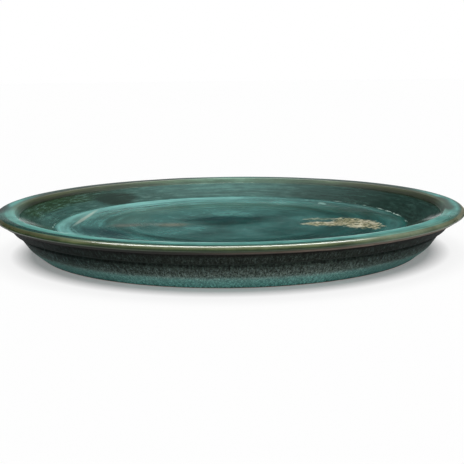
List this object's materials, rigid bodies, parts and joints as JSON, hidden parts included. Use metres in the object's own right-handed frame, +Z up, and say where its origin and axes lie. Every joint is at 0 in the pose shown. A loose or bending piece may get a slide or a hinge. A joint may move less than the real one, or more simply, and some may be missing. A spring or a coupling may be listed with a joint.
{
  "type": "plant saucer",
  "caption": "Round glazed stoneware plant saucer with a thick rolled lip, a stepped outer wall and a foot ring; a pot stands in it and it catches the drained water.",
  "frame": {"origin": "middle of the foot ring's plane, on the ground under the saucer's axis", "axes": "+Z up along the saucer's axis of turning, out of the open dish; -Y faces the viewer"},
  "size_m": [0.3, 0.3, 0.028],
  "materials": {
    "stoneware_clay": "bare fired clay, matte and slightly gritty",
    "teal_glaze": "glossy reactive teal glaze, olive where it breaks over the lip",
    "charcoal_glaze": "satin charcoal glaze, speckled, turning teal at the foot",
    "underside_glaze": "satin charcoal glaze"
  },
  "bodies": {
    "root": {"stoneware_body": "stoneware_clay", "inside_glaze": "teal_glaze", "outside_glaze": "charcoal_glaze", "underside_glaze": "underside_glaze"}
  },
  "joints": []
}
